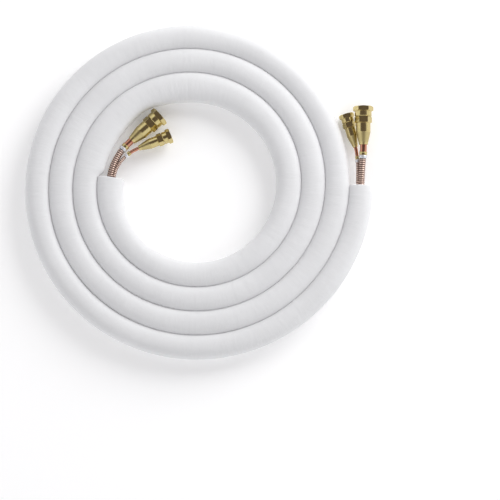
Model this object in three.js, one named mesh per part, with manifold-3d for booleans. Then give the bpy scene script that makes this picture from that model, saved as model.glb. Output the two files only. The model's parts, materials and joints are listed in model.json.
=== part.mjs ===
// A mini split line set: two copper refrigerant lines in one white foam sleeve, wound as a flat
// spiral of three and a half turns. At each end the two lines leave the sleeve and end in brass
// quick-connect couplings, each with a union nut that turns freely on its body.
// Millimetres, +Z up. The coil lies flat on the floor, and the origin is under its middle.

import * as THREE from 'three';
import { mergeVertices } from 'three/addons/utils/BufferGeometryUtils.js';
import Module from 'manifold-3d';

const wasm = await Module();
wasm.setup();

// Foam sleeve: its section between two neighbouring turns, which press it a little flat
const SLEEVE_WIDTH = 43;
const SLEEVE_HEIGHT = 45;
const SLEEVE_SIDES = 12;
const SLOT_ARC_STEPS = 2;
const TURN_GAP = 0.4;

// Coil: the sleeve's middle line starts at this radius and gains one pitch each turn
const INNER_RADIUS = 151;
const TURNS = 3.515;
const PITCH = SLEEVE_WIDTH + TURN_GAP;
const STEP_ANGLE = THREE.MathUtils.degToRad(15);

// Copper lines, side by side in the sleeve's slot, the thick one towards the coil's outside
const SEAT_GAP = 0.3;
const SUCTION = { diameter: 12.7, wall: 0.81, stub: 12.5, sides: 8 };
const LIQUID = { diameter: 6.35, wall: 0.76, stub: 17.5, sides: 6 };
const PAIR_WIDTH = SUCTION.diameter + SEAT_GAP + LIQUID.diameter;
SUCTION.inward = (SUCTION.diameter - PAIR_WIDTH) / 2;
LIQUID.inward = (PAIR_WIDTH - LIQUID.diameter) / 2;

// Tail tubes: where each one meets its coupling, measured from the sleeve's mouth along the
// sleeve, towards the coil's middle and up, and how far the coupling turns to the middle
const TAILS = {
  suction_inner: { forward: 73, inward: 32, rise: 0, turn: 40.5 },
  liquid_inner: { forward: 61, inward: 37, rise: 0, turn: 60 },
  suction_outer: { forward: 74, inward: 1, rise: 6.5, turn: 1.5 },
  liquid_outer: { forward: 71, inward: 5, rise: -6.5, turn: 17 },
};
const START_PULL = 0.45;
const END_PULL = 0.25;
const TAIL_STEPS = 9;

// Two rings on each tail, where its corrugated stretch ends and its smooth stub begins: a crimped
// ferrule and a brass band
const FERRULE_LENGTH = 5.3;
const BAND_LENGTH = 5.5;
const RING_WALL = 0.8;
const RING_SPACING = 0.7;
const RING_SEGMENTS = 16;

// Brass couplings: a tapered tail, a plain barrel and a hexagon, then the neck that carries the nut
const SUCTION_COUPLING = {
  line: SUCTION, socketDepth: 13, tailWall: 1, coneLength: 23,
  barrelDiameter: 26, barrelLength: 16.5, hexStand: 0.5, hexLength: 11.5,
  noseDiameter: 17, poppetDiameter: 10,
  threadDiameter: 26.5, nutWall: 2.75, nutLength: 18.5, skirtWall: 2, skirtLength: 9.5,
};
const LIQUID_COUPLING = {
  line: LIQUID, socketDepth: 11, tailWall: 0.9, coneLength: 21.5,
  barrelDiameter: 19, barrelLength: 15.5, hexStand: 0.75, hexLength: 9.5,
  noseDiameter: 11.5, poppetDiameter: 6.5,
  threadDiameter: 19, nutWall: 2.5, nutLength: 16, skirtWall: 1.8, skirtLength: 8,
};
const NUT_BACK_WALL = 3;
const COLLAR_THICKNESS = 2.5;
const COLLAR_STAND = 1.6;
const THREAD_CLEARANCE = 1.1;
const NOSE_STEP = 1.2;
const POPPET_GROOVE = 1;
const RUNNING_GAP = 0.4;
const CHAMFER_SLOPE = Math.tan(THREE.MathUtils.degToRad(30));
const LATHE_SEGMENTS = 24;

const UP = new THREE.Vector3(0, 0, 1);

const foam = new THREE.MeshStandardMaterial({ color: 0xe9eaec, roughness: 0.75, metalness: 0 });
const copper = new THREE.MeshStandardMaterial({ color: 0xb87358, roughness: 0.3, metalness: 1 });
const brass = new THREE.MeshStandardMaterial({ color: 0xc9b56c, roughness: 0.28, metalness: 1 });
const tin = new THREE.MeshStandardMaterial({ color: 0xd6d8dc, roughness: 0.3, metalness: 1 });

// A station is a place on a route: its point, and the tangent in the direction of travel
function station(point, tangent) {
  return { point, tangent: tangent.clone().normalize() };
}

function leftOf(tangent) {
  return new THREE.Vector3().crossVectors(UP, tangent).normalize();
}

// A route through stations. Sections are set square to the tangents and level with the floor,
// with their x to the left of travel and their y up, so pieces that share stations share facets.
class Route extends THREE.Curve {
  constructor(stations) {
    super();
    this.stations = stations;
  }

  getUtoTmapping(u) {
    return u;
  }

  getPoint(t, target = new THREE.Vector3()) {
    return target.copy(this.stations[Math.round(t * (this.stations.length - 1))].point);
  }

  computeFrenetFrames() {
    const tangents = this.stations.map((s) => s.tangent.clone());
    const normals = tangents.map(leftOf);
    const binormals = tangents.map((t, i) => new THREE.Vector3().crossVectors(t, normals[i]));
    return { tangents, normals, binormals };
  }
}

function sweep(section, stations, arcSteps) {
  return new THREE.ExtrudeGeometry(section, {
    extrudePath: new Route(stations),
    steps: stations.length - 1,
    curveSegments: arcSteps,
    bevelEnabled: false,
  });
}

// The spiral's stations, evenly spaced in angle back from the outer end, which lies on +X, so
// that the facets of neighbouring turns line up. The innermost step takes what is left over.
function spiralStations() {
  const span = TURNS * 2 * Math.PI;
  const growth = PITCH / (2 * Math.PI);
  const angles = [-span];
  const even = Math.floor(span / STEP_ANGLE - 0.5);
  for (let i = even; i >= 0; i--) angles.push(-i * STEP_ANGLE);
  return angles.map((angle) => {
    const radius = INNER_RADIUS + growth * (angle + span);
    const out = new THREE.Vector3(Math.cos(angle), Math.sin(angle), 0);
    const round = new THREE.Vector3(-Math.sin(angle), Math.cos(angle), 0);
    const tangent = round.multiplyScalar(radius).addScaledVector(out, growth);
    return station(out.multiplyScalar(radius), tangent);
  });
}

function shifted(stations, inward) {
  return stations.map((s) =>
    station(s.point.clone().addScaledVector(leftOf(s.tangent), inward), s.tangent));
}

function reversed(stations) {
  return stations.map((s) => station(s.point, s.tangent.clone().negate())).reverse();
}

// The way out of one end of the sleeve, as stations that travel out: the last step inside the
// sleeve, and then one smooth bend, as a curve in space, to the aim of the coupling
function wayOut(inside, mouth, inward, tail) {
  const turn = THREE.MathUtils.degToRad(tail.turn);
  const heading = mouth.tangent;
  const end = mouth.point.clone()
    .addScaledVector(heading, tail.forward)
    .addScaledVector(inward, tail.inward)
    .addScaledVector(UP, tail.rise);
  const aim = heading.clone().multiplyScalar(Math.cos(turn))
    .addScaledVector(inward, Math.sin(turn));
  const reach = mouth.point.distanceTo(end);
  const curve = new THREE.CubicBezierCurve3(
    mouth.point,
    mouth.point.clone().addScaledVector(heading, reach * START_PULL),
    end.clone().addScaledVector(aim, -reach * END_PULL),
    end,
  );
  return { inside, mouth, curve, end, aim };
}

// The tail tube butts on the line inside the sleeve and ends near the bottom of the socket
function tailStations(way, socketDepth) {
  const butt = way.inside.point.clone().addScaledVector(way.inside.tangent, SEAT_GAP);
  const stations = [station(butt, way.inside.tangent), way.mouth];
  for (let i = 1; i < TAIL_STEPS; i++) {
    const u = i / TAIL_STEPS;
    stations.push(station(way.curve.getPointAt(u), way.curve.getTangentAt(u)));
  }
  const bottom = way.end.clone().addScaledVector(way.aim, socketDepth - SEAT_GAP);
  stations.push(station(way.end, way.aim), station(bottom, way.aim));
  return stations;
}

function polygon(sides, radius) {
  const points = [];
  for (let i = 0; i < sides; i++) {
    const angle = (i / sides) * 2 * Math.PI;
    points.push(new THREE.Vector2(radius * Math.cos(angle), radius * Math.sin(angle)));
  }
  return points;
}

function tubeSection(line) {
  const section = new THREE.Shape(polygon(line.sides, line.diameter / 2));
  section.holes.push(new THREE.Path(polygon(line.sides, line.diameter / 2 - line.wall)));
  return section;
}

// The sleeve's section is drawn round its oval, with a flat on each side, below and on top.
// Its slot has round ends that fit the thick line.
function sleeveSection() {
  const half = Math.PI / SLEEVE_SIDES;
  const points = [];
  for (let i = 0; i < SLEEVE_SIDES; i++) {
    const angle = half * (2 * i + 1);
    points.push(new THREE.Vector2(
      (SLEEVE_WIDTH / 2 / Math.cos(half)) * Math.cos(angle),
      (SLEEVE_HEIGHT / 2 / Math.cos(half)) * Math.sin(angle),
    ));
  }
  const section = new THREE.Shape(points);
  const radius = SUCTION.diameter / 2 + SEAT_GAP;
  const slot = new THREE.Path();
  slot.absarc(-SUCTION.inward, 0, radius, -Math.PI / 2, Math.PI / 2, false);
  slot.absarc(SUCTION.inward, 0, radius, Math.PI / 2, 1.5 * Math.PI, false);
  slot.closePath();
  section.holes.push(slot);
  return section;
}

function solid(geometry) {
  const bare = geometry.clone();
  bare.deleteAttribute('normal');
  bare.deleteAttribute('uv');
  const merged = mergeVertices(bare, 1e-4);
  return new wasm.Manifold(new wasm.Mesh({
    numProp: 3,
    vertProperties: merged.attributes.position.array,
    triVerts: new Uint32Array(merged.index.array),
  }));
}

function geometryOf(manifold) {
  const mesh = manifold.getMesh();
  return new THREE.BufferGeometry()
    .setAttribute('position', new THREE.BufferAttribute(mesh.vertProperties, 3))
    .setIndex(new THREE.BufferAttribute(mesh.triVerts, 1));
}

function turned(profile, segments = LATHE_SEGMENTS) {
  const points = profile.map(([radius, along]) => new THREE.Vector2(radius, along));
  return new THREE.LatheGeometry(points, segments);
}

// A hexagon bar between two places along the axis, with its corners turned off at both ends.
// One flat faces up.
function hexagon(across, from, to) {
  const corner = across / Math.sqrt(3);
  const drop = (corner - across / 2) * CHAMFER_SLOPE;
  const bar = new THREE.CylinderGeometry(corner, corner, to - from, 6, 1, false, Math.PI / 6);
  bar.translate(0, (from + to) / 2, 0);
  const facing = turned([
    [0, from], [across / 2, from], [corner, from + drop],
    [corner, to - drop], [across / 2, to], [0, to],
  ]);
  return solid(bar).intersect(solid(facing));
}

// Places along a coupling's axis, which starts where the brass meets the smooth copper stub
function couplingPlaces(c) {
  const barrel = c.coneLength;
  const hex = barrel + c.barrelLength;
  const neck = hex + c.hexLength;
  const nut = neck + RUNNING_GAP;
  const collar = nut + NUT_BACK_WALL + RUNNING_GAP;
  const nose = collar + COLLAR_THICKNESS;
  return { barrel, hex, neck, nut, collar, nose, front: nut + c.nutLength };
}

// The neck passes through the nut's back wall, and the collar on it holds the nut
function collarRadius(c) {
  return c.threadDiameter / 2 - THREAD_CLEARANCE;
}

function neckRadius(c) {
  return collarRadius(c) - COLLAR_STAND;
}

// The nose's end is the sealing face, with the valve's poppet in its middle
function couplingBody(c) {
  const at = couplingPlaces(c);
  const socket = c.line.diameter / 2 + SEAT_GAP;
  const face = at.nose + NOSE_STEP;
  const lathe = turned([
    [0, c.socketDepth], [socket, c.socketDepth], [socket, 0], [socket + c.tailWall, 0],
    [c.barrelDiameter / 2, at.barrel], [c.barrelDiameter / 2, at.hex + SEAT_GAP],
    [neckRadius(c), at.hex + SEAT_GAP],
    [neckRadius(c), at.collar], [collarRadius(c), at.collar],
    [collarRadius(c), at.nose], [c.noseDiameter / 2, at.nose], [c.noseDiameter / 2, face],
    [c.poppetDiameter / 2 + POPPET_GROOVE, face],
    [c.poppetDiameter / 2 + POPPET_GROOVE, face - POPPET_GROOVE],
    [c.poppetDiameter / 2, face - POPPET_GROOVE],
    [c.poppetDiameter / 2, face], [0, face],
  ]);
  const hexAcross = c.barrelDiameter + 2 * c.hexStand;
  return geometryOf(solid(lathe).add(hexagon(hexAcross, at.hex, at.neck)));
}

// The nut: a round skirt behind a hexagon, a thread bore from the front, and a back wall whose
// hole runs on the body's neck behind the collar
function unionNut(c) {
  const at = couplingPlaces(c);
  const hex = at.nut + c.skirtLength;
  const skirtRadius = c.threadDiameter / 2 + c.skirtWall;
  const skirt = turned([
    [0, at.nut], [skirtRadius, at.nut], [skirtRadius, hex + SEAT_GAP], [0, hex + SEAT_GAP],
  ]);
  const before = at.nut - SEAT_GAP;
  const past = at.front + SEAT_GAP;
  const hole = neckRadius(c) + RUNNING_GAP;
  const bore = turned([
    [0, before], [hole, before], [hole, at.nut + NUT_BACK_WALL],
    [c.threadDiameter / 2, at.nut + NUT_BACK_WALL], [c.threadDiameter / 2, past], [0, past],
  ]);
  const outside = solid(skirt).add(hexagon(c.threadDiameter + 2 * c.nutWall, hex, at.front));
  return geometryOf(outside.subtract(solid(bore)));
}

function ringRound(line, length) {
  const inner = (line.diameter / 2 + SEAT_GAP) / Math.cos(Math.PI / RING_SEGMENTS);
  const outer = inner + RING_WALL;
  const half = length / 2;
  return turned([[inner, -half], [outer, -half], [outer, half], [inner, half], [inner, -half]],
    RING_SEGMENTS);
}

function named(name, geometry, material) {
  const mesh = new THREE.Mesh(geometry, material);
  mesh.name = name;
  return mesh;
}

// Places a piece that was drawn along +Y, so that it points along a direction
function place(object, point, direction) {
  object.position.copy(point);
  object.quaternion.setFromUnitVectors(new THREE.Vector3(0, 1, 0), direction);
  return object;
}

function coupling(name, design, way) {
  const group = new THREE.Group();
  group.add(named(`${name}_coupling`, couplingBody(design), brass));
  group.add(named(`${name}_union_nut`, unionNut(design), brass));
  return place(group, way.end, way.aim);
}

// A ring on a tail, with its near end this far from the coupling
function ringOn(curve, name, line, length, distance, material) {
  const whole = curve.getLength();
  const u = (whole - distance - length / 2) / whole;
  const mesh = named(name, ringRound(line, length), material);
  return place(mesh, curve.getPointAt(u), curve.getTangentAt(u));
}

// One end of a line: the tail tube, the two rings on it and the coupling
function lineEnd(name, line, design, way) {
  const group = new THREE.Group();
  const ferruleAt = line.stub + BAND_LENGTH + RING_SPACING;
  const tube = sweep(tubeSection(line), tailStations(way, design.socketDepth), 1);
  group.add(named(`${name}_tail`, tube, copper));
  group.add(ringOn(way.curve, `${name}_band`, line, BAND_LENGTH, line.stub, brass));
  group.add(ringOn(way.curve, `${name}_ferrule`, line, FERRULE_LENGTH, ferruleAt, tin));
  group.add(coupling(name, design, way));
  return group;
}

// One copper line inside the sleeve, with its two ends
function refrigerantLine(name, line, design, sleeve) {
  const group = new THREE.Group();
  const run = shifted(sleeve, line.inward);
  const back = reversed(run);
  const left = leftOf(back[back.length - 1].tangent).negate();
  const right = leftOf(run[run.length - 1].tangent);
  const inner = wayOut(back[back.length - 2], back[back.length - 1], left, TAILS[`${name}_inner`]);
  const outer = wayOut(run[run.length - 2], run[run.length - 1], right, TAILS[`${name}_outer`]);
  group.add(named(`${name}_line`, sweep(tubeSection(line), run.slice(1, -1), 1), copper));
  group.add(lineEnd(`${name}_inner`, line, design, inner));
  group.add(lineEnd(`${name}_outer`, line, design, outer));
  return group;
}

const lineSet = new THREE.Group();
const coil = spiralStations();
lineSet.add(named('insulation_sleeve', sweep(sleeveSection(), coil, SLOT_ARC_STEPS), foam));
lineSet.add(refrigerantLine('suction', SUCTION, SUCTION_COUPLING, coil));
lineSet.add(refrigerantLine('liquid', LIQUID, LIQUID_COUPLING, coil));

// The origin goes to the floor under the middle of the whole coil
const box = new THREE.Box3().setFromObject(lineSet, true);
const centre = box.getCenter(new THREE.Vector3());
lineSet.position.set(-centre.x, -centre.y, -box.min.z);

export default lineSet;
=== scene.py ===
"""Dresses the coiled mini split line set: the foam sleeve in its film, the corrugated tails with
their rings, the brass couplings with their union nuts, and a pale studio round them."""

import json
import math

import bmesh
import bpy
from bpy.props import FloatProperty, FloatVectorProperty, IntProperty, PointerProperty
from mathutils import Matrix, Vector, geometry, noise


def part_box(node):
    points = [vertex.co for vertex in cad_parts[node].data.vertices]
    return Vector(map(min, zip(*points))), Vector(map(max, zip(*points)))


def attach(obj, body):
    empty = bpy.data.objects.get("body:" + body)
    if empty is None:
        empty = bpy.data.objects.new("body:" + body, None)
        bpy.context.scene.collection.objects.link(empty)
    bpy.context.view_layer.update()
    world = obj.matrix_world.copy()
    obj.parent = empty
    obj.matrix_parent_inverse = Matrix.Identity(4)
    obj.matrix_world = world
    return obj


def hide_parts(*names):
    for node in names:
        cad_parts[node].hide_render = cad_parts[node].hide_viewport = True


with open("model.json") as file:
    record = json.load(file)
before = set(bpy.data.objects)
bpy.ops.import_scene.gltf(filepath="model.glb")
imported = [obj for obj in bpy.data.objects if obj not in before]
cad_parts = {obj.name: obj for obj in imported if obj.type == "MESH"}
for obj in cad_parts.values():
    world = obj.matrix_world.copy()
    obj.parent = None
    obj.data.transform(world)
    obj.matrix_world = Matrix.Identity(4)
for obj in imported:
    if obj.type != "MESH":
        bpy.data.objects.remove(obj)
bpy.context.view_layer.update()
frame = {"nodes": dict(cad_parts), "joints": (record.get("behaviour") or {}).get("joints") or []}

bl_info = {
    "name": "Mini split line set",
    "version": (1, 0, 0),
    "blender": (4, 5, 0),
    "location": "View3D > Sidebar > Line set",
    "description": "A coiled pair of copper lines in a foam sleeve, with brass couplings",
    "category": "Object",
}

ROOT_BODY = "line_set"
UP = Vector((0, 0, 1))
MM = 0.001
TINY = 1e-6
WHOLE_TURN = 2 * math.pi
RUN = "run"

# Each end of each line: its CAD nodes and its nut's body start with this name
ENDS = ("suction_inner", "liquid_inner", "suction_outer", "liquid_outer")


def length(name, default_mm, description):
    """A property for a length that is given here in millimetres."""
    return FloatProperty(
        name=name, default=default_mm * MM, description=description,
        unit="LENGTH", min=0, precision=5)


def colour(name, default, description):
    return FloatVectorProperty(
        name=name, default=default, description=description, subtype="COLOR", min=0, max=1)


class SleeveSizes(bpy.types.PropertyGroup):
    """The foam sleeve and the spiral that it lies in."""
    width: length("Width", 43, "Across the sleeve, between two neighbouring turns")
    height: length("Height", 45, "From the floor to the top of the sleeve")
    gap: length("Gap", 0.4, "Between neighbouring turns")
    turns: FloatProperty(name="Turns", default=3.515, description="Turns of the spiral")
    squareness: FloatProperty(
        name="Squareness", default=2.2, description="2 is an oval, and more is boxier")
    lip: length("Lip", 2.2, "Rounding of the foam's edge at each mouth")
    lump: length("Lumps", 0.5, "Depth of the soft dents along the sleeve")
    squeeze: length("Squeeze", 3.4, "How much each turn is pressed flat by its neighbour")
    swell: length("Swell", 1.8, "How much wider the innermost turn is towards the free eye")
    flare: length("Flare", 3.6, "How much wider still it is at its mouth")
    sag: length("Sag", 8.4, "How much wider still it is over the last part of that turn")
    dent: length("Dent", 5.5, "How much of that the thick line's nut presses back")
    around: IntProperty(name="Around", default=48, description="Faces round the section")
    per_turn: IntProperty(name="Per turn", default=200, description="Faces along one turn")
    tint: colour("Film", (0.75, 0.752, 0.76), "Colour of the white film")


class LineSizes(bpy.types.PropertyGroup):
    """One copper line, and its tail tubes and rings."""
    diameter: length("Diameter", 12.7, "Outside of the copper tube")
    inward: length("Inward", 0, "From the sleeve's middle line towards the coil's middle")
    stub: length("Stub", 12.5, "Smooth copper between the band and the coupling")
    socket: length("Socket", 13, "How deep the tail goes into its coupling")
    rib: length("Rib", 3.8, "From one corrugation to the next")
    groove: length("Groove", 1.3, "Depth of the corrugations")


class CouplingSizes(bpy.types.PropertyGroup):
    """One size of brass coupling, with its union nut."""
    wall: length("Tail wall", 1, "Brass round the copper at the thin end")
    cone: length("Cone", 23, "Length of the taper")
    barrel: length("Barrel", 26, "Diameter of the plain barrel")
    barrel_length: length("Barrel length", 16.5, "Length of the plain barrel")
    hex_stand: length("Hexagon stand", 0.5, "How far the hexagon's flats stand out")
    hex_length: length("Hexagon length", 11.5, "Length of the body's hexagon")
    nose: length("Nose", 17, "Diameter of the sealing face")
    poppet: length("Poppet", 10, "Diameter of the valve's poppet")
    thread: length("Thread", 26.5, "Diameter of the nut's thread")
    nut_wall: length("Nut wall", 2.75, "From the thread to the nut's flats")
    nut_length: length("Nut length", 18.5, "Length of the union nut")
    skirt_wall: length("Skirt wall", 2, "From the thread to the outside of the skirt")
    skirt_length: length("Skirt length", 9.5, "Length of the round skirt")


class LineSetLook(bpy.types.PropertyGroup):
    """Every size and colour of the line set's look."""
    sleeve: PointerProperty(type=SleeveSizes, name="Sleeve", description="The foam sleeve")
    suction: PointerProperty(type=LineSizes, name="Suction line", description="The thick line")
    liquid: PointerProperty(type=LineSizes, name="Liquid line", description="The thin line")
    large: PointerProperty(
        type=CouplingSizes, name="Suction coupling", description="Coupling of the thick line")
    small: PointerProperty(
        type=CouplingSizes, name="Liquid coupling", description="Coupling of the thin line")
    brass: colour("Brass", (0.63, 0.52, 0.245), "Colour of the turned brass")
    copper: colour("Copper", (0.58, 0.29, 0.195), "Colour of the smooth copper")
    ribbed: colour("Corrugated copper", (0.72, 0.55, 0.47), "Colour of the corrugated tails")
    tin: colour("Tin", (0.76, 0.77, 0.80), "Colour of the ferrules")


class StageSizes(bpy.types.PropertyGroup):
    """Floor, lights and camera."""
    floor: length("Floor", 8000, "Side of the floor")
    pale: colour("Floor colour", (0.97, 0.97, 0.97), "Colour of the floor")
    distance: length("Camera distance", 5000, "From the camera to the coil's middle")
    tilt: FloatProperty(
        name="Tilt", default=math.radians(6), subtype="ANGLE",
        description="How far the camera leans from straight above")
    view_width: length("View width", 905, "Width of the picture at the coil")
    aim_x: length("Aim right", 102.6, "The picture's middle, to the right of the coil's middle")
    aim_y: length("Aim down", 114.1, "The picture's middle, below the coil's middle")


# What the two couplings share, in metres
BACK_WALL = 3 * MM
RUNNING_GAP = 0.4 * MM
COLLAR_THICKNESS = 2.5 * MM
COLLAR_STAND = 1.6 * MM
THREAD_CLEARANCE = 1.1 * MM
NOSE_STEP = 1.2 * MM
POPPET_GROOVE = 1 * MM
CHAMFER_SLOPE = math.tan(math.radians(30))
THREAD_PITCH = 1.5 * MM
THREAD_DEPTH = 0.75 * MM
SKIRT_CHAMFER = 0.8 * MM
EDGE_ROUND = 0.28 * MM
SPIN_STEPS = 72

# Shares of the thread's pitch: where its crest ends, and where its groove is deepest
THREAD_CREST = 0.2
THREAD_FLOOR = 0.6

# How far an edge bends before it is rounded, and the faces across its rounding
BEND_LIMIT = math.radians(24)
BEVEL_SEGMENTS = 2

# What the rings on the tails share
SEAT_GAP = 0.3 * MM
CREST = 0.27 * MM
FERRULE_LENGTH = 5.3 * MM
BAND_LENGTH = 5.5 * MM
RING_WALL = 0.8 * MM
RING_SPACING = 0.7 * MM
RING_ROUND = 0.18 * MM
STUB_PLAY = 0.05 * MM

# The raised bead of each ring: its reach as a share of the ring's half length, the step down to
# the waist beside it, and how long the band's slope between the two is
BEAD_SHARE = 0.62
WAIST_DEPTH = 0.35 * MM
BAND_SLOPE = 0.5 * MM

# How long the foam takes to go flat where it meets its neighbour
MEETING = 12 * MM

# Stretches of the innermost turn, as shares of it from its mouth
FLARE_REACH = 0.067
SAG_REACH = (0.44, 0.76)
NUT_AT = 0.84
NUT_REACH = 0.04
SWELL_END = (0.985, 1)

# The pull of the tail's bend at its two ends, as shares of its reach
START_PULL = 0.45
END_PULL = 0.25
BEND_POINTS = 80

# The part of a tail's way inside the sleeve: its points, and the angle from one to the next
HIDDEN_POINTS = 16
INNER_STEP = 0.02
OUTER_STEP = -0.012

# Where the coupling's tail begins and ends to look filed and to carry painted shade, from its thin
# end
FILED_AND_SHADED_FROM = (3 * MM, 6 * MM)
FILED_AND_SHADED_TO = (21 * MM, 23 * MM)
HEATED_COPPER = (0.5, 0.12, 0.09, 1)
# A near-black brown, painted as shade at the bottom of the corrugations' grooves
GROOVE_PAINTED_SHADE = (0.11, 0.06, 0.05, 1)

# The light and the room, in metres and watts
KEY_OFFSET = Vector((2.2, 2.2, 1.65))
KEY_SIZE = 2.4
KEY_POWER = 78
FLOOR_GLOW = 0.12
ROOM_LIGHT = 1.04
ROOM_COLOUR = (0.98, 0.985, 1.0, 1)
SENSOR_WIDTH = 36
FAR_CLIP = 100

# The room's dark ceiling: its reach and its shift in the world's directions, and where its edge
# begins and ends, as squares of the share of that reach
CEILING_COLOUR = (0.145, 0.12, 0.122, 1)
CEILING_ACROSS = 0.77
CEILING_ALONG = 0.47
CEILING_SHIFT = 0.09
CEILING_EDGE = (0.75, 1.15)


def smooth_step(value, low, high):
    share = min(max((value - low) / (high - low), 0), 1)
    return share * share * (3 - 2 * share)


def axes(x, y, z, place):
    """A matrix with these axes at a place."""
    matrix = Matrix((x, y, z)).transposed().to_4x4()
    matrix.translation = place
    return matrix


def axes_along(place, direction):
    """Axes with z along a direction, x level and to the left of it, and y up."""
    left = UP.cross(direction).normalized()
    return axes(left, direction.cross(left), direction, place)


class Coil:
    """The spiral of the sleeve's middle line, found from the sleeve's box."""

    def __init__(self, sizes):
        low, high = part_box("insulation_sleeve")
        pitch = sizes.width + sizes.gap
        self.span = sizes.turns * WHOLE_TURN
        self.growth = pitch / WHOLE_TURN
        self.outer_radius = (high.x - low.x - sizes.width) / 2 + pitch / 4
        self.centre = (low + high) / 2 + Vector((-pitch / 4, pitch / 4, 0))

    def axes_at(self, angle, inward=0.0):
        """Axes at an angle, which is 0 at the outer mouth and negative before it."""
        radius = self.outer_radius + self.growth * angle
        out = Vector((math.cos(angle), math.sin(angle), 0))
        round_ = Vector((-math.sin(angle), math.cos(angle), 0))
        travel = (round_ * radius + out * self.growth).normalized()
        matrix = axes_along(self.centre + out * radius, travel)
        matrix.translation += matrix.col[0].xyz * inward
        return matrix

    def distance_to(self, angle):
        """Length of the middle line from the inner mouth, from the mean radius."""
        turned = angle + self.span
        inner = self.outer_radius - self.growth * self.span
        return (inner + self.growth * turned / 2) * turned


class Way:
    """A smooth way through close points, read by the distance along it."""

    def __init__(self, points):
        self.points = points
        self.marks = [0.0]
        for near, far in zip(points, points[1:]):
            self.marks.append(self.marks[-1] + (far - near).length)
        self.length = self.marks[-1]

    def axes_at(self, distance):
        last = len(self.points) - 2
        i = 0
        while i < last and self.marks[i + 1] < distance:
            i += 1
        here, there = self.points[i], self.points[i + 1]
        share = (distance - self.marks[i]) / (self.marks[i + 1] - self.marks[i])
        before = self.points[max(i - 1, 0)]
        after = self.points[min(i + 2, last + 1)]
        direction = (there - before).lerp(after - here, min(max(share, 0), 1)).normalized()
        return axes_along(here + (there - here) * share, direction)


def joint_of(end):
    """The place and direction of an end's coupling, from the joint of its nut."""
    joint = next(j for j in frame["joints"] if j["child"] == f"{end}_nut")
    return Vector(joint["pos_m"]), Vector(joint["axis"]).normalized()


def line_of(end):
    look = bpy.context.scene.line_set
    return look.suction if end.startswith("suction") else look.liquid


def coupling_of(end):
    look = bpy.context.scene.line_set
    return look.large if end.startswith("suction") else look.small


def tail_way(end):
    """The tail's way from its butt inside the sleeve, out of the mouth and to its coupling."""
    line = line_of(end)
    coil = Coil(bpy.context.scene.line_set.sleeve)
    inner = end.endswith("inner")
    mouth_angle = -coil.span if inner else 0.0
    step = INNER_STEP if inner else OUTER_STEP
    inside = [
        coil.axes_at(mouth_angle + step * i, line.inward) for i in range(HIDDEN_POINTS, 0, -1)]
    mouth = coil.axes_at(mouth_angle, line.inward)
    heading = mouth.col[2].xyz * (-1 if inner else 1)
    place, aim = joint_of(end)
    start = mouth.translation
    reach = (place - start).length
    bend = geometry.interpolate_bezier(
        start, start + heading * reach * START_PULL,
        place - aim * reach * END_PULL, place, BEND_POINTS)
    return Way([matrix.translation for matrix in inside] + bend)


def new_bmesh():
    bm = bmesh.new()
    bm.verts.layers.float_vector.new(RUN)
    return bm


def same(x, y, run):
    return x, y


def sweep(bm, edges, stations, shape=same):
    """Extrudes a ring from station to station, which are axes with the distance along. The run
    layer keeps a vertex's place in the section with that distance, and shape bends the section."""
    layer = bm.verts.layers.float_vector[RUN]
    first = True
    for matrix, run in stations:
        if not first:
            made = bmesh.ops.extrude_edge_only(bm, edges=edges)["geom"]
            edges = [item for item in made if isinstance(item, bmesh.types.BMEdge)]
        first = False
        for vert in {vert for edge in edges for vert in edge.verts}:
            x, y = vert[layer].xy
            vert[layer] = (x, y, run)
            vert.co = matrix @ Vector((*shape(x, y, run), 0))
    return edges


def ring(bm, segments, place):
    """A ring of edges whose vertices are placed by their angle round the section."""
    layer = bm.verts.layers.float_vector[RUN]
    verts = bmesh.ops.create_circle(bm, segments=segments, radius=1)["verts"]
    for vert in verts:
        x, y = place(math.atan2(vert.co.y, vert.co.x))
        vert[layer] = (x, y, 0)
    return list({edge for vert in verts for edge in vert.link_edges})


def circle(bm, segments, radius):
    return ring(bm, segments, lambda angle: (radius * math.cos(angle), radius * math.sin(angle)))


def cap(bm, *ends):
    """Closes the ends of a tube."""
    for edges in ends:
        bmesh.ops.contextual_create(bm, geom=edges)


def turn(bm, profile, closed=False):
    """Spins a profile of places, each a radius and a distance along, round the z axis."""
    verts = [bm.verts.new((radius, 0, along)) for radius, along in profile]
    pairs = list(zip(verts, verts[1:]))
    if closed:
        pairs.append((verts[-1], verts[0]))
    edges = [bm.edges.new(pair) for pair in pairs]
    bmesh.ops.spin(
        bm, geom=verts + edges, cent=(0, 0, 0), axis=(0, 0, 1),
        angle=WHOLE_TURN, steps=SPIN_STEPS, use_merge=True)
    bmesh.ops.remove_doubles(bm, verts=bm.verts, dist=TINY)


def corner_radius(flat):
    """From a hexagon's middle to its corners."""
    return flat / math.cos(math.pi / 6)


def cut_hexagon(bm, across, low, high):
    """Turns the round stretch between two places along z into a hexagon with its corners turned
    off. A corner points along x."""
    flat = across / 2
    for vert in bm.verts:
        round_ = vert.co.xy
        if round_.length < flat + TINY or not low - TINY < vert.co.z < high + TINY:
            continue
        off = math.atan2(vert.co.y, vert.co.x) % (math.pi / 3) - math.pi / 6
        radius = flat / math.cos(off)
        drop = (radius - flat) * CHAMFER_SLOPE
        vert.co.xy = round_.normalized() * radius
        vert.co.z = min(max(vert.co.z, low + drop), high - drop)


def soften(bm, offset):
    """Rounds every edge that bends more than the limit."""
    bmesh.ops.remove_doubles(bm, verts=bm.verts, dist=20 * TINY)
    bmesh.ops.recalc_face_normals(bm, faces=bm.faces)
    sharp = [edge for edge in bm.edges if edge.calc_face_angle(0) > BEND_LIMIT]
    bmesh.ops.bevel(
        bm, geom=sharp, offset=offset, offset_type="OFFSET", affect="EDGES",
        segments=BEVEL_SEGMENTS, profile=0.5, material=-1, clamp_overlap=True)
    bmesh.ops.remove_doubles(bm, verts=bm.verts, dist=5 * TINY)


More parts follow.
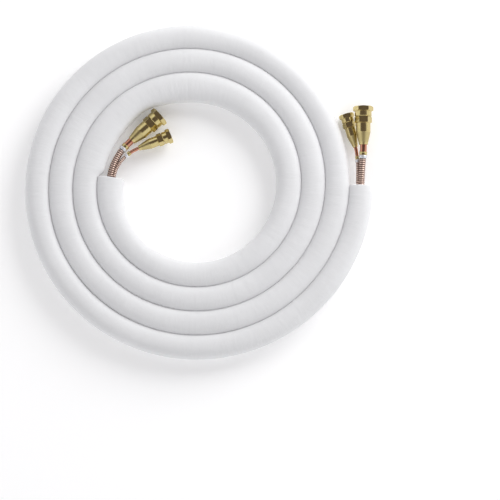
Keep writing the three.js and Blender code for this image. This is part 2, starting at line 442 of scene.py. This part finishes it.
def put_in_place(bm, matrix):
    """Moves a piece into place, and keeps each vertex's place in the piece's own axes."""
    layer = bm.verts.layers.float_vector[RUN]
    for vert in bm.verts:
        vert[layer] = vert.co
    bmesh.ops.transform(bm, matrix=matrix, verts=bm.verts)


def piece(bm, name, body, material, replaced, sharp_degrees=9):
    """Makes the finished object from a bmesh: closed, facing out, smooth but for sharp edges."""
    bmesh.ops.recalc_face_normals(bm, faces=bm.faces)
    for face in bm.faces:
        face.smooth = True
    for edge in bm.edges:
        edge.smooth = edge.calc_face_angle(0) < math.radians(sharp_degrees)
    mesh = bpy.data.meshes.new(name)
    bm.to_mesh(mesh)
    bm.free()
    mesh.materials.append(material)
    made = bpy.data.objects.new(name, mesh)
    bpy.context.scene.collection.objects.link(made)
    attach(made, body)
    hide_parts(*replaced)
    return made


class Socket:
    """A value in a node tree. Python's operators on it add Math nodes."""

    def __init__(self, shading, output):
        self.shading = shading
        self.output = output

    def maths(self, operation, first, second):
        return self.shading.add("Math", {"operation": operation}, {0: first, 1: second})

    def __add__(self, other):
        return self.maths("ADD", self, other)

    def __sub__(self, other):
        return self.maths("SUBTRACT", self, other)

    def __mul__(self, other):
        return self.maths("MULTIPLY", self, other)

    def __truediv__(self, other):
        return self.maths("DIVIDE", self, other)

    def __radd__(self, other):
        return self.maths("ADD", other, self)

    def __rsub__(self, other):
        return self.maths("SUBTRACT", other, self)


class Shading:
    """Adds nodes to one node tree."""

    def __init__(self, tree):
        self.tree = tree

    def feed(self, target, value):
        if isinstance(value, Socket):
            self.tree.links.new(value.output, target)
        else:
            target.default_value = value

    def add(self, kind, settings=None, sockets=None, output=0):
        """Adds a node: its type, its settings, then the values or links of its sockets."""
        node = self.tree.nodes.new(f"ShaderNode{kind}")
        for label, value in (settings or {}).items():
            setattr(node, label, value)
        for label, value in (sockets or {}).items():
            self.feed(node.inputs[label], value)
        return Socket(self, node.outputs[output])

    def between(self, value, low, high):
        """0 below one value and 1 above the other."""
        return self.add("MapRange", {"interpolation_type": "SMOOTHSTEP"}, {
            "Value": value, "From Min": low, "From Max": high})

    def mix(self, factor, first, second):
        return self.add("Mix", {"data_type": "RGBA"}, {0: factor, 6: first, 7: second}, output=2)


class Finish(Shading):
    """One material, built round its Principled shader."""

    def __init__(self, name, constants):
        self.material = bpy.data.materials.new(name)
        self.material.use_nodes = True
        super().__init__(self.material.node_tree)
        self.shader = self.tree.nodes["Principled BSDF"]
        for label, value in constants.items():
            self.shader.inputs[label].default_value = value

    def run(self):
        """The piece's own places: across the section and along it."""
        return self.add("Attribute", {"attribute_name": RUN}, output="Vector")

    def along(self):
        """The distance along the piece."""
        return self.add("SeparateXYZ", None, {"Vector": self.run()}, output="Z")

    def scaled(self, vector, scale):
        return self.add("VectorMath", {"operation": "MULTIPLY"}, {0: vector, 1: scale})

    def noise(self, vector, scale, detail=2.0, roughness=0.5):
        return self.add("TexNoise", None, {
            "Vector": vector, "Scale": scale, "Detail": detail, "Roughness": roughness})

    def wave(self, value, length):
        """A wave from -1 to 1 along a distance."""
        return self.add("Math", {"operation": "SINE"}, {0: value * (WHOLE_TURN / length)})

    def set(self, label, value):
        self.feed(self.shader.inputs[label], value)

    def bump(self, height, distance, strength=1.0):
        normal = self.add("Bump", None, {
            "Height": height, "Distance": distance, "Strength": strength}, output="Normal")
        self.set("Normal", normal)


def opaque(rgb, factor=1.0):
    return (*[channel * factor for channel in rgb], 1)


def film_finish(tint):
    """White film over foam: faint cross wrinkles, soft clouds of grey, and the foam's fine cells."""
    finish = Finish("white_film", {"Specular IOR Level": 0.4, "Coat Roughness": 0.35})
    run = finish.run()
    wrinkle = finish.noise(finish.scaled(run, (50, 50, 170)), 1.0, 3, 0.55)
    fold = finish.noise(finish.scaled(run, (25, 25, 90)), 1.0, 2, 0.5)
    cells = finish.noise(run, 900, 2, 0.6)
    cloud = finish.noise(run, 14, 3, 0.55)
    shade = finish.mix(finish.between(cloud, 0.3, 0.7), opaque(tint, 0.965), opaque(tint))
    finish.set("Base Color", finish.mix(
        finish.between(wrinkle, 0.55, 0.8) * 0.3, shade, opaque(tint, 0.9)))
    finish.set("Roughness", 0.5 + cells * 0.12 + wrinkle * 0.1)
    emboss = finish.wave(finish.along() + wrinkle * 0.002, 2.6 * MM)
    finish.bump(wrinkle * 0.75 + fold * 1.1 + cells * 0.06 + emboss * 0.04, 1.1 * MM, 0.55)
    return finish.material


def brass_finish(tint):
    """Turned brass: fine tool marks round the axis, small stains, brighter worn places, and a
    rougher filed taper that is darkened with painted shade.
    """
    finish = Finish("turned_brass", {"Metallic": 1.0, "Specular IOR Level": 0.5})
    own = finish.run()
    marks = finish.noise(finish.scaled(own, (150, 150, 5200)), 1.0, 2, 0.5)
    stain = finish.noise(own, 240, 4, 0.6)
    shade = finish.mix(finish.between(stain, 0.35, 0.75), opaque(tint), opaque(tint, 0.86))
    along = finish.along()
    filed_and_shaded = finish.between(along, *FILED_AND_SHADED_FROM) * (1 - finish.between(along, *FILED_AND_SHADED_TO))
    # Painted shade: the filed stretch of the taper is darker in colour as well as rougher
    finish.set("Base Color", finish.mix(filed_and_shaded * 0.8, shade, opaque(tint, 0.8)))
    finish.set("Roughness", 0.15 + marks * 0.06 + finish.between(stain, 0.5, 0.8) * 0.1
               + filed_and_shaded * 0.11)
    finish.bump(marks, 0.02 * MM, 0.5)
    return finish.material


def copper_finish(tint):
    """Smooth drawn copper, darkened by the heat of the joints, with long draw marks."""
    finish = Finish("drawn_copper", {"Metallic": 1.0})
    own = finish.run()
    draw = finish.noise(finish.scaled(own, (2600, 2600, 60)), 1.0, 2, 0.5)
    heat = finish.noise(own, 160, 3, 0.6)
    hot = finish.mix(finish.between(heat, 0.4, 0.75) * 0.7, opaque(tint), HEATED_COPPER)
    finish.set("Base Color", hot)
    finish.set("Roughness", 0.1 + draw * 0.06 + heat * 0.06)
    finish.bump(draw, 0.015 * MM, 0.4)
    return finish.material


def ribbed_finish(tint):
    """Corrugated copper: pink on the crests, and dull in the grooves, which carry a brown painted
    shade.
    """
    finish = Finish("ribbed_copper", {"Metallic": 1.0})
    own = finish.run()
    stain = finish.noise(own, 420, 3, 0.6)
    deep = finish.add("Attribute", {"attribute_name": "depth"}, output="Fac")
    dull = finish.mix(finish.between(stain, 0.3, 0.75), opaque(tint), opaque(tint, 0.8))
    # Painted shade: the colour darkens towards brown-black where the grooves are deepest
    finish.set("Base Color", finish.mix(
        finish.between(deep, 0.35, 0.65) * 0.95, dull, GROOVE_PAINTED_SHADE))
    finish.set("Roughness", 0.24 + stain * 0.12 + deep * 0.2)
    finish.bump(stain, 0.05 * MM, 0.4)
    return finish.material


def tin_finish(tint):
    """Tinned metal, silver white, with faint handling marks."""
    finish = Finish("tinned_ferrule", {"Metallic": 1.0})
    own = finish.run()
    marks = finish.noise(own, 500, 3, 0.6)
    finish.set("Base Color", finish.mix(
        finish.between(marks, 0.4, 0.75), opaque(tint), opaque(tint, 0.85)))
    finish.set("Roughness", 0.36 + marks * 0.15)
    finish.bump(marks, 0.03 * MM, 0.3)
    return finish.material


def cached(name, make, tint):
    """A material that is made once and then shared."""
    return bpy.data.materials.get(name) or make(tint)


class MakeSleeve(bpy.types.Operator):
    """Makes the foam sleeve round its spiral, with a slot for the lines and a rounded lip at each
    mouth."""
    bl_idname = "line_set.sleeve"
    bl_label = "Foam sleeve"

    def execute(self, context):
        look = context.scene.line_set
        sizes = look.sleeve
        coil = Coil(sizes)
        whole = coil.distance_to(0)
        bm = new_bmesh()
        skin = ring(bm, sizes.around, lambda angle: self.oval(sizes, angle))
        slot = ring(bm, sizes.around, lambda angle: self.slot(look, angle))
        step = WHOLE_TURN / sizes.per_turn
        skin_angles = self.angles(coil, step, sizes.lip)
        slot_angles = self.angles(coil, step * 4, 0)
        met = coil.distance_to(-coil.span + WHOLE_TURN)
        left = coil.distance_to(-WHOLE_TURN)

        def shaped(x, y, run):
            y = self.dented(sizes, x, y, run)
            if x > 0:
                x = self.pressed(sizes, x, sizes.gap, smooth_step(run, met - MEETING, met))
                x *= 1 + self.swollen(sizes, run / met) / (sizes.width / 2)
            else:
                x = -self.pressed(sizes, -x, 0, smooth_step(-run, -left - MEETING, -left))
            inset = self.lip_inset(sizes, min(run, whole - run))
            return x * (1 - inset), y * (1 - inset)

        outer = self.run_along(bm, skin, coil, skin_angles, shaped)
        inner = self.run_along(bm, slot, coil, slot_angles, same)
        bmesh.ops.bridge_loops(bm, edges=skin + slot)
        bmesh.ops.bridge_loops(bm, edges=outer + inner)
        material = cached("white_film", film_finish, sizes.tint)
        sleeve = piece(
            bm, "foam_sleeve", ROOT_BODY, material, ["insulation_sleeve"], 50)
        return {"FINISHED"}

    @staticmethod
    def oval(sizes, angle):
        power = 2 / sizes.squareness
        x = math.copysign(abs(math.cos(angle)) ** power, math.cos(angle))
        y = math.copysign(abs(math.sin(angle)) ** power, math.sin(angle))
        return x * (sizes.width / 2 + sizes.squeeze), y * sizes.height / 2

    @staticmethod
    def slot(look, angle):
        """The slot's round end fits the thick line, at each side of the section's middle."""
        radius = look.suction.diameter / 2 + SEAT_GAP
        side = math.copysign(abs(look.suction.inward), math.cos(angle))
        return side + radius * math.cos(angle), radius * math.sin(angle)

    @staticmethod
    def angles(coil, step, lip):
        """Even angles along the spiral, with a few close ones at the two lips."""
        inner_radius = coil.outer_radius - coil.growth * coil.span
        shares = (0, 0.03, 0.12, 0.27, 0.5, 0.75, 1) if lip else (0,)
        start = [-coil.span + share * lip / inner_radius for share in shares]
        finish = [-share * lip / coil.outer_radius for share in reversed(shares)]
        count = int(coil.span / step)
        even = [-coil.span + coil.span * i / count for i in range(1, count)]
        return start + even + finish

    @staticmethod
    def run_along(bm, edges, coil, angles, shape):
        stations = [(coil.axes_at(angle), coil.distance_to(angle)) for angle in angles]
        return sweep(bm, edges, stations, shape)

    @staticmethod
    def lip_inset(sizes, depth):
        """How much narrower the sleeve is at a depth inside its mouth, as a share."""
        edge = max(0.0, 1 - depth / sizes.lip)
        return sizes.lip * (1 - math.sqrt(1 - edge * edge)) / (sizes.width / 2)

    @staticmethod
    def dented(sizes, x, y, run):
        """The height y, with soft dents and ripples on the top and the bottom of the foam."""
        dent = 0.5 + 0.5 * noise.noise(Vector((x * 30, y * 30, run * 22)))
        ripple = 0.5 + 0.5 * noise.noise(Vector((x * 60, y * 60, run * 75 + 40)))
        return y * (1 - sizes.lump * (0.7 * dent + 0.3 * ripple) / (sizes.height / 2))

    @staticmethod
    def pressed(sizes, x, gap, share):
        """The oval is wider than the sleeve. Where it is free it is narrower, and a neighbour
        presses it flat across half the gap."""
        half = sizes.width / 2
        free = x * half / (half + sizes.squeeze)
        return free + (min(x, half + gap) - free) * share

    @staticmethod
    def swollen(sizes, turned):
        """How far the innermost turn swells into the eye, where turned is 0 at its mouth and 1
        where it meets its own mouth again."""
        flare = sizes.flare * math.exp(-(turned / FLARE_REACH) ** 2)
        sag = sizes.sag * smooth_step(turned, *SAG_REACH)
        dent = sizes.dent * math.exp(-((turned - NUT_AT) / NUT_REACH) ** 2)
        return (sizes.swell + flare + sag - dent) * (1 - smooth_step(turned, *SWELL_END))


class MakeTails(bpy.types.Operator):
    """Makes each line's corrugated tail, and the smooth stub between its rings and its coupling."""
    bl_idname = "line_set.tails"
    bl_label = "Corrugated tails"
    around = 36
    stations_per_rib = 8
    stub_stations = 12

    def execute(self, context):
        look = context.scene.line_set
        for end in ENDS:
            line = line_of(end)
            way = tail_way(end)
            split = way.length - line.stub - BAND_LENGTH / 2
            self.ribbed(end, line, way, split, cached("ribbed_copper", ribbed_finish, look.ribbed))
            self.stub(end, line, way, split, cached("drawn_copper", copper_finish, look.copper))
        return {"FINISHED"}

    @staticmethod
    def depth(line, run):
        """0 on a corrugation's crest, and 1 at the bottom of the groove."""
        return 0.5 - 0.5 * math.cos(WHOLE_TURN * run / line.rib)

    def ribbed(self, end, line, way, split, material):
        bm = new_bmesh()
        radius = line.diameter / 2
        edges = circle(bm, self.around, radius)
        count = int(split / line.rib * self.stations_per_rib)
        runs = [split * i / count for i in range(count + 1)]

        def shape(x, y, run):
            grow = 1 + (CREST - line.groove * self.depth(line, run)) / radius
            return x * grow, y * grow

        last = sweep(bm, edges, [(way.axes_at(run), run) for run in runs], shape)
        cap(bm, edges, last)
        depth = bm.verts.layers.float.new("depth")
        layer = bm.verts.layers.float_vector[RUN]
        for vert in bm.verts:
            vert[depth] = self.depth(line, vert[layer].z)
        piece(bm, f"{end}_corrugated_tube", ROOT_BODY, material,
              [f"{end}_tail"], sharp_degrees=75)

    def stub(self, end, line, way, split, material):
        bm = new_bmesh()
        radius = line.diameter / 2 - STUB_PLAY
        edges = circle(bm, self.around, radius)
        count = self.stub_stations
        rest = way.length - split
        stations = [(way.axes_at(split + rest * i / count), rest * i / count)
                    for i in range(count + 1)]
        place, aim = joint_of(end)
        deep = line.socket - SEAT_GAP
        stations.append((axes_along(place + aim * deep, aim), rest + deep))
        last = sweep(bm, edges, stations)
        cap(bm, edges, last)
        piece(bm, f"{end}_stub", ROOT_BODY, material, [f"{end}_tail"], sharp_degrees=30)


class MakeRings(bpy.types.Operator):
    """Makes the tinned ferrule and the brass band on each tail."""
    bl_idname = "line_set.rings"
    bl_label = "Ferrules and bands"

    def execute(self, context):
        look = context.scene.line_set
        tin = cached("tinned_ferrule", tin_finish, look.tin)
        brass = cached("turned_brass", brass_finish, look.brass)
        for end in ENDS:
            line = line_of(end)
            way = tail_way(end)
            band_at = way.length - line.stub - BAND_LENGTH / 2
            ferrule_at = band_at - BAND_LENGTH / 2 - RING_SPACING - FERRULE_LENGTH / 2
            self.make(end, "ferrule", line, way.axes_at(ferrule_at), FERRULE_LENGTH, tin, "tin")
            self.make(end, "band", line, way.axes_at(band_at), BAND_LENGTH, brass, "brass")
        return {"FINISHED"}

    def make(self, end, kind, line, matrix, long, material, slot):
        inner = line.diameter / 2 + SEAT_GAP
        outer = inner + RING_WALL
        half = long / 2
        bead = half * BEAD_SHARE
        waist = outer - WAIST_DEPTH
        if kind == "band":
            outside = [(waist, -half), (waist, bead - BAND_SLOPE), (outer, bead), (outer, half)]
        else:
            outside = [(waist, -half), (outer, -bead), (outer, bead), (waist, half)]
        bm = new_bmesh()
        turn(bm, [(inner, -half), *outside, (inner, half)], closed=True)
        soften(bm, RING_ROUND)
        put_in_place(bm, matrix)
        piece(bm, f"{end}_{kind}_ring", ROOT_BODY, material, [f"{end}_{kind}"])


def places_along(sizes):
    """Where the coupling's stretches begin along its axis."""
    hexagon = sizes.cone + sizes.barrel_length
    neck = hexagon + sizes.hex_length
    nut = neck + RUNNING_GAP
    collar = nut + BACK_WALL + RUNNING_GAP
    return hexagon, neck, nut, collar


class MakeCouplings(bpy.types.Operator):
    """Makes each brass coupling body: tapered tail, barrel, hexagon, neck, collar and valve face."""
    bl_idname = "line_set.couplings"
    bl_label = "Coupling bodies"

    def execute(self, context):
        look = context.scene.line_set
        brass = cached("turned_brass", brass_finish, look.brass)
        for end in ENDS:
            bm = new_bmesh()
            self.shape(bm, line_of(end), coupling_of(end))
            put_in_place(bm, axes_along(*joint_of(end)))
            piece(bm, f"{end}_coupling_body", ROOT_BODY, brass, [f"{end}_coupling"])
        return {"FINISHED"}

    def shape(self, bm, line, sizes):
        hexagon, neck, nut, collar = places_along(sizes)
        socket = line.diameter / 2 + SEAT_GAP
        barrel = sizes.barrel / 2
        flat = barrel + sizes.hex_stand
        corner = corner_radius(flat)
        collar_radius = sizes.thread / 2 - THREAD_CLEARANCE
        neck_radius = collar_radius - COLLAR_STAND
        nose = collar + COLLAR_THICKNESS
        face = nose + NOSE_STEP
        poppet = sizes.poppet / 2
        turn(bm, [
            (0, line.socket), (socket, line.socket), (socket, 0), (socket + sizes.wall, 0),
            (barrel, sizes.cone), (barrel, hexagon - SEAT_GAP),
            (flat, hexagon), (corner, hexagon), (corner, neck), (flat, neck),
            (neck_radius, neck), (neck_radius, collar), (collar_radius, collar),
            (collar_radius, nose), (sizes.nose / 2, nose), (sizes.nose / 2, face),
            (poppet + POPPET_GROOVE, face), (poppet + POPPET_GROOVE, face - POPPET_GROOVE),
            (poppet, face - POPPET_GROOVE), (poppet, face), (0, face),
        ])
        cut_hexagon(bm, flat * 2, hexagon, neck)
        soften(bm, EDGE_ROUND)


class MakeNuts(bpy.types.Operator):
    """Makes each union nut: a round skirt, a hexagon with turned corners, and a threaded bore."""
    bl_idname = "line_set.nuts"
    bl_label = "Union nuts"

    def execute(self, context):
        look = context.scene.line_set
        brass = cached("turned_brass", brass_finish, look.brass)
        for end in ENDS:
            bm = new_bmesh()
            self.shape(bm, coupling_of(end))
            put_in_place(bm, axes_along(*joint_of(end)))
            piece(bm, f"{end}_nut_piece", f"{end}_nut", brass, [f"{end}_union_nut"])
        return {"FINISHED"}

    def shape(self, bm, sizes):
        nut = places_along(sizes)[2]
        hexagon = nut + sizes.skirt_length
        front = nut + sizes.nut_length
        thread = sizes.thread / 2
        skirt = thread + sizes.skirt_wall
        flat = thread + sizes.nut_wall
        corner = corner_radius(flat)
        hole = thread - THREAD_CLEARANCE - COLLAR_STAND + RUNNING_GAP
        back = nut + BACK_WALL
        turn(bm, [
            (hole, nut), (skirt - SKIRT_CHAMFER, nut),
            (skirt, nut + SKIRT_CHAMFER), (skirt, hexagon),
            (flat, hexagon), (corner, hexagon), (corner, front), (flat, front),
            *self.thread(thread, back, front), (thread, back), (hole, back),
        ], closed=True)
        cut_hexagon(bm, flat * 2, hexagon, front)
        soften(bm, EDGE_ROUND)

    @staticmethod
    def thread(radius, back, front):
        """The thread's grooves from the front to the back of the bore, as one profile."""
        places = [(radius + THREAD_DEPTH, front)]
        along = front - THREAD_DEPTH
        while along - THREAD_PITCH > back + THREAD_PITCH:
            places.append((radius, along))
            places.append((radius, along - THREAD_PITCH * THREAD_CREST))
            places.append((radius + THREAD_DEPTH, along - THREAD_PITCH * THREAD_FLOOR))
            along -= THREAD_PITCH
        places.append((radius, along))
        return places


class DressLines(bpy.types.Operator):
    """Gives the copper lines inside the sleeve their finish."""
    bl_idname = "line_set.lines"
    bl_label = "Lines in the sleeve"

    def execute(self, context):
        look = context.scene.line_set
        finish = Finish("line_copper", {"Metallic": 1.0})
        place = finish.add("TexCoord", output="Object")
        marks = finish.noise(place, 300, 3, 0.6)
        finish.set("Base Color", finish.mix(
            finish.between(marks, 0.35, 0.7), opaque(look.copper), opaque(look.copper, 0.8)))
        finish.set("Roughness", 0.22 + marks * 0.14)
        for name in ("suction_line", "liquid_line"):
            node = frame["nodes"][name]
            node.data.materials.clear()
            node.data.materials.append(finish.material)
        return {"FINISHED"}


class MakeStage(bpy.types.Operator):
    """Makes the floor, the soft lights and the camera."""
    bl_idname = "line_set.stage"
    bl_label = "Stage"

    def execute(self, context):
        sizes = context.scene.line_set_stage
        coil = Coil(context.scene.line_set.sleeve)
        middle = Vector((coil.centre.x, coil.centre.y, 0))
        self.floor(sizes)
        self.key_light(middle)
        self.world(context)
        self.camera(context, sizes, middle)
        context.scene.view_settings.view_transform = "Standard"
        return {"FINISHED"}

    def floor(self, sizes):
        bm = bmesh.new()
        bmesh.ops.create_grid(bm, x_segments=1, y_segments=1, size=sizes.floor / 2)
        mesh = bpy.data.meshes.new("floor")
        bm.to_mesh(mesh)
        bm.free()
        finish = Finish("pale_floor", {
            "Base Color": opaque(sizes.pale), "Roughness": 0.8, "Specular IOR Level": 0.1,
            "Emission Color": (1, 1, 1, 1), "Emission Strength": FLOOR_GLOW})
        mesh.materials.append(finish.material)
        floor = bpy.data.objects.new("floor", mesh)
        bpy.context.scene.collection.objects.link(floor)

    def key_light(self, middle):
        lamp = bpy.data.lights.new("key_light", "AREA")
        lamp.shape = "DISK"
        lamp.size = KEY_SIZE
        lamp.energy = KEY_POWER
        made = bpy.data.objects.new("key_light", lamp)
        made.location = middle + KEY_OFFSET
        made.rotation_mode = "QUATERNION"
        made.rotation_quaternion = (-KEY_OFFSET).to_track_quat("-Z", "Y")
        bpy.context.scene.collection.objects.link(made)

    def world(self, context):
        """An even pale room with a dark ceiling over the middle, which the brass mirrors."""
        world = bpy.data.worlds.new("studio")
        world.use_nodes = True
        background = world.node_tree.nodes["Background"]
        room = Shading(world.node_tree)
        way = room.add("TexCoord", output="Object")
        across = room.add("SeparateXYZ", None, {"Vector": way}, output="X") / CEILING_ACROSS
        along = room.add("SeparateXYZ", None, {"Vector": way}, output="Y") - CEILING_SHIFT
        along = along / CEILING_ALONG
        away = across * across + along * along
        shade = room.mix(room.between(away, *CEILING_EDGE), CEILING_COLOUR, ROOM_COLOUR)
        room.feed(background.inputs["Color"], shade)
        background.inputs["Strength"].default_value = ROOM_LIGHT
        context.scene.world = world

    def camera(self, context, sizes, middle):
        data = bpy.data.cameras.new("camera")
        camera = bpy.data.objects.new("camera", data)
        lean = Vector((0, -math.sin(sizes.tilt), math.cos(sizes.tilt)))
        right = Vector((1, 0, 0))
        aim = middle + Vector((sizes.aim_x, -sizes.aim_y, 0))
        camera.matrix_world = axes(right, lean.cross(right), lean, aim + lean * sizes.distance)
        data.sensor_width = SENSOR_WIDTH
        data.lens = data.sensor_width * sizes.distance / sizes.view_width
        data.clip_end = FAR_CLIP
        context.scene.collection.objects.link(camera)
        context.scene.camera = camera


class LINESET_PT_panel(bpy.types.Panel):
    """Lists the line set's operators."""
    bl_idname = "LINESET_PT_panel"
    bl_label = "Mini split line set"
    bl_space_type = "VIEW_3D"
    bl_region_type = "UI"
    bl_category = "Line set"

    def draw(self, context):
        for operator in OPERATORS:
            self.layout.operator(operator.bl_idname)


GROUPS = (SleeveSizes, LineSizes, CouplingSizes, LineSetLook, StageSizes)
OPERATORS = (MakeStage, MakeSleeve, DressLines, MakeTails, MakeRings, MakeCouplings, MakeNuts)


def register():
    for item in (*GROUPS, *OPERATORS, LINESET_PT_panel):
        bpy.utils.register_class(item)
    bpy.types.Scene.line_set = PointerProperty(type=LineSetLook)
    bpy.types.Scene.line_set_stage = PointerProperty(type=StageSizes)


def unregister():
    del bpy.types.Scene.line_set_stage
    del bpy.types.Scene.line_set
    for item in reversed((*GROUPS, *OPERATORS, LINESET_PT_panel)):
        bpy.utils.unregister_class(item)


def set_liquid_sizes(look):
    """The thin line's own sizes, and where the two lines lie side by side in the slot."""
    look.liquid.diameter = 6.35 * MM
    look.liquid.stub = 17.5 * MM
    look.liquid.socket = 11 * MM
    look.liquid.rib = 3.2 * MM
    look.liquid.groove = 0.75 * MM
    pair = look.suction.diameter + SEAT_GAP + look.liquid.diameter
    look.suction.inward = (look.suction.diameter - pair) / 2
    look.liquid.inward = (pair - look.liquid.diameter) / 2
    small = {
        "wall": 0.9, "cone": 21.5, "barrel": 19, "barrel_length": 15.5, "hex_stand": 0.75,
        "hex_length": 9.5, "nose": 11.5, "poppet": 6.5, "thread": 19, "nut_wall": 2.5,
        "nut_length": 16, "skirt_wall": 1.8, "skirt_length": 8,
    }
    for label, millimetres in small.items():
        setattr(look.small, label, millimetres * MM)


def main():
    register()
    set_liquid_sizes(bpy.context.scene.line_set)
    bpy.ops.line_set.stage()
    bpy.ops.line_set.sleeve()
    bpy.ops.line_set.lines()
    bpy.ops.line_set.tails()
    bpy.ops.line_set.rings()
    bpy.ops.line_set.couplings()
    bpy.ops.line_set.nuts()
    bpy.context.view_layer.update()


if __name__ == "__main__":
    main()
